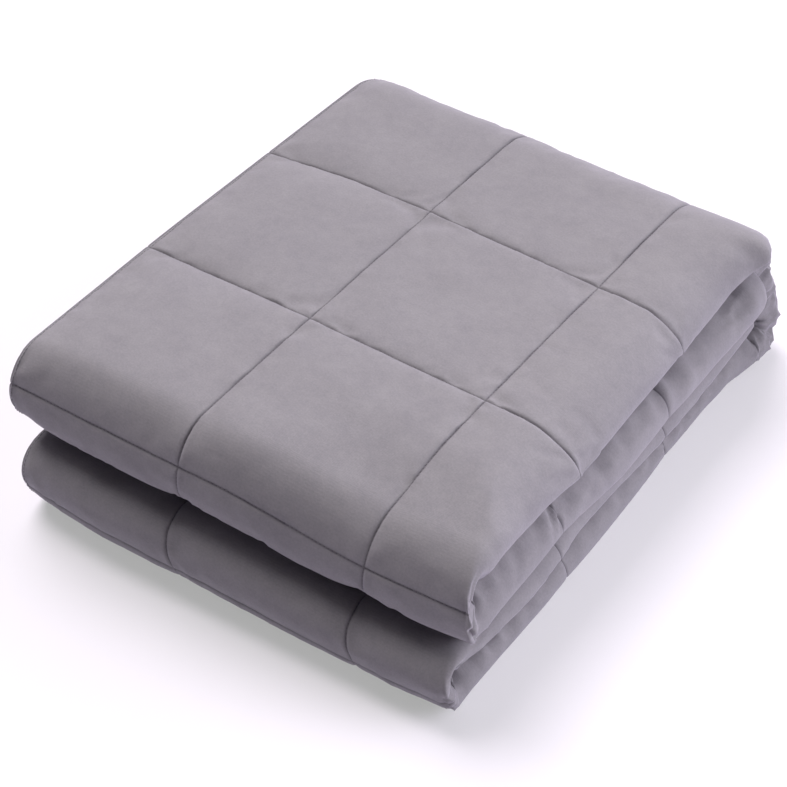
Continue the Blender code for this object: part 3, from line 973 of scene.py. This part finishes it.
# Spun polyester sewing thread: a little darker and glossier than the cloth, with a fine twist
def threadMaterial(t):
    material = bpy.data.materials.new("spunThread")
    material.use_nodes = True
    tree = material.node_tree
    shader = tree.nodes["Principled BSDF"]
    shader.inputs["Base Color"].default_value = linear(t["colour"])
    shader.inputs["Roughness"].default_value = t["roughness"]
    shader.inputs["Sheen Weight"].default_value = t["sheen"]
    place = addNode(tree, "ShaderNodeTexCoord").outputs["Object"]
    twist = addNode(tree, "ShaderNodeTexNoise", {}, {"Scale": t["twists"], "Detail": 1.0}, {"Vector": place})
    depth = {"Strength": t["bumpStrength"], "Distance": t["bumpDepth"]}
    bump = addNode(tree, "ShaderNodeBump", {}, depth, {"Height": twist.outputs["Fac"]})
    tree.links.new(bump.outputs["Normal"], shader.inputs["Normal"])
    return material


# painted shade along the seams: a point attribute from 1 on a seam to 0 a little away from it, which darkens
# the cloth colour there
paintedSeamShade = blanketMesh.attributes.new("paintedSeamShade", "FLOAT", "POINT")
seamShadeMask = needleDepth(blanket, pockets, alongs, rolls, blanket["seamShadeWidth"])
paintedSeamShade.data.foreach_set("value", seamShadeMask.astype(np.float32).ravel())
blanketMesh.materials.append(cottonMaterial(cotton))
stitchesMesh.materials.append(threadMaterial(thread))
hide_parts("blanket")
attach(blanketObject, "root")
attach(stitchesObject, "root")
print("materials given")


studio = {
    "floor": (0.55, 0.51, 0.60),
    "glowColour": (0.98, 1.0, 0.96),
    "floorGlow": 0.36,  # the floor is a white sheet lit from below, as product tables are
    "floorHalf": 6.0,
    "floorLevel": -0.0005,
    "lampDistance": 3.0,  # only for its place in the file: a sun lamp's light is the same at any distance
    "softness": math.radians(40),
    "world": "#FFFFFF",
    "worldStrength": 0.02,
    # azimuth and elevation in degrees, strength, colour
    "lamps": {
        "keyBackLeft": (244, 56, 3.45, "#FFFCF8"),
        "topLamp": (0, 86, 0.28, "#FFFCF8"),
        "rightBackMiddle": (135, 32, 0.95, "#FBFAFF"),
        "rightBackLow": (135, 12, 0.90, "#FBFAFF"),
        "backLow": (180, 12, 0.80, "#FBFAFF"),
        "leftBackMiddle": (225, 32, 0.50, "#FBFAFF"),
    },
    # spot, target, size, power, colour
    "rightFrontBox": ((0.68, 0.02, 0.26), (0.19, -0.10, 0.06), 0.25, 1.5, "#FBFAFF"),
}


def addFloor(s):
    mesh = bpy.data.meshes.new("studioFloor")
    half, level = s["floorHalf"], s["floorLevel"]
    corners = [(x * half, y * half, level) for x, y in ((-1, -1), (1, -1), (1, 1), (-1, 1))]
    mesh.from_pydata(corners, [], [(0, 1, 2, 3)])
    floor = bpy.data.objects.new("studioFloor", mesh)
    scene.collection.objects.link(floor)
    material = bpy.data.materials.new("whitePaperFloor")
    material.use_nodes = True
    tree = material.node_tree
    shader = tree.nodes["Principled BSDF"]
    shader.inputs["Base Color"].default_value = s["floor"] + (1,)
    shader.inputs["Roughness"].default_value = 1.0
    shader.inputs["Emission Color"].default_value = s["glowColour"] + (1,)
    shader.inputs["Emission Strength"].default_value = s["floorGlow"]
    mesh.materials.append(material)
    floor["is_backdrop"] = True


# A big soft lamp far away, at its azimuth and elevation
def addLamp(name, azimuth, elevation, strength, colour, softness):
    data = bpy.data.lights.new(name, "SUN")
    data.angle = softness
    data.energy = strength
    data.color = linear(colour)[:3]
    light = bpy.data.objects.new(name, data)
    scene.collection.objects.link(light)
    a, e = math.radians(azimuth), math.radians(elevation)
    direction = Vector((math.sin(a) * math.cos(e), -math.cos(a) * math.cos(e), math.sin(e)))
    light.location = direction * studio["lampDistance"]
    light.rotation_mode = "QUATERNION"
    light.rotation_quaternion = direction.to_track_quat("Z", "Y")


# A square soft box at a spot, turned to what it lights
def addSoftBox(name, spot, target, size, power, colour):
    data = bpy.data.lights.new(name, "AREA")
    data.size = size
    data.energy = power
    data.color = linear(colour)[:3]
    light = bpy.data.objects.new(name, data)
    scene.collection.objects.link(light)
    light.location = spot
    light.rotation_mode = "QUATERNION"
    light.rotation_quaternion = (Vector(spot) - Vector(target)).to_track_quat("Z", "Y")


addFloor(studio)
addSoftBox("rightFrontBox", *studio["rightFrontBox"])
world = bpy.data.worlds.new("studio")
scene.world = world
world.use_nodes = True
world.node_tree.nodes["Background"].inputs["Color"].default_value = linear(studio["world"])
world.node_tree.nodes["Background"].inputs["Strength"].default_value = studio["worldStrength"]
for lampName, lamp in studio["lamps"].items():
    addLamp(lampName, *lamp, studio["softness"])
print("studio lit")
scene.view_settings.view_transform = "Standard"
scene.view_settings.look = "None"

{"cad": cadBounds, "visual": [list(corner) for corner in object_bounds()]}
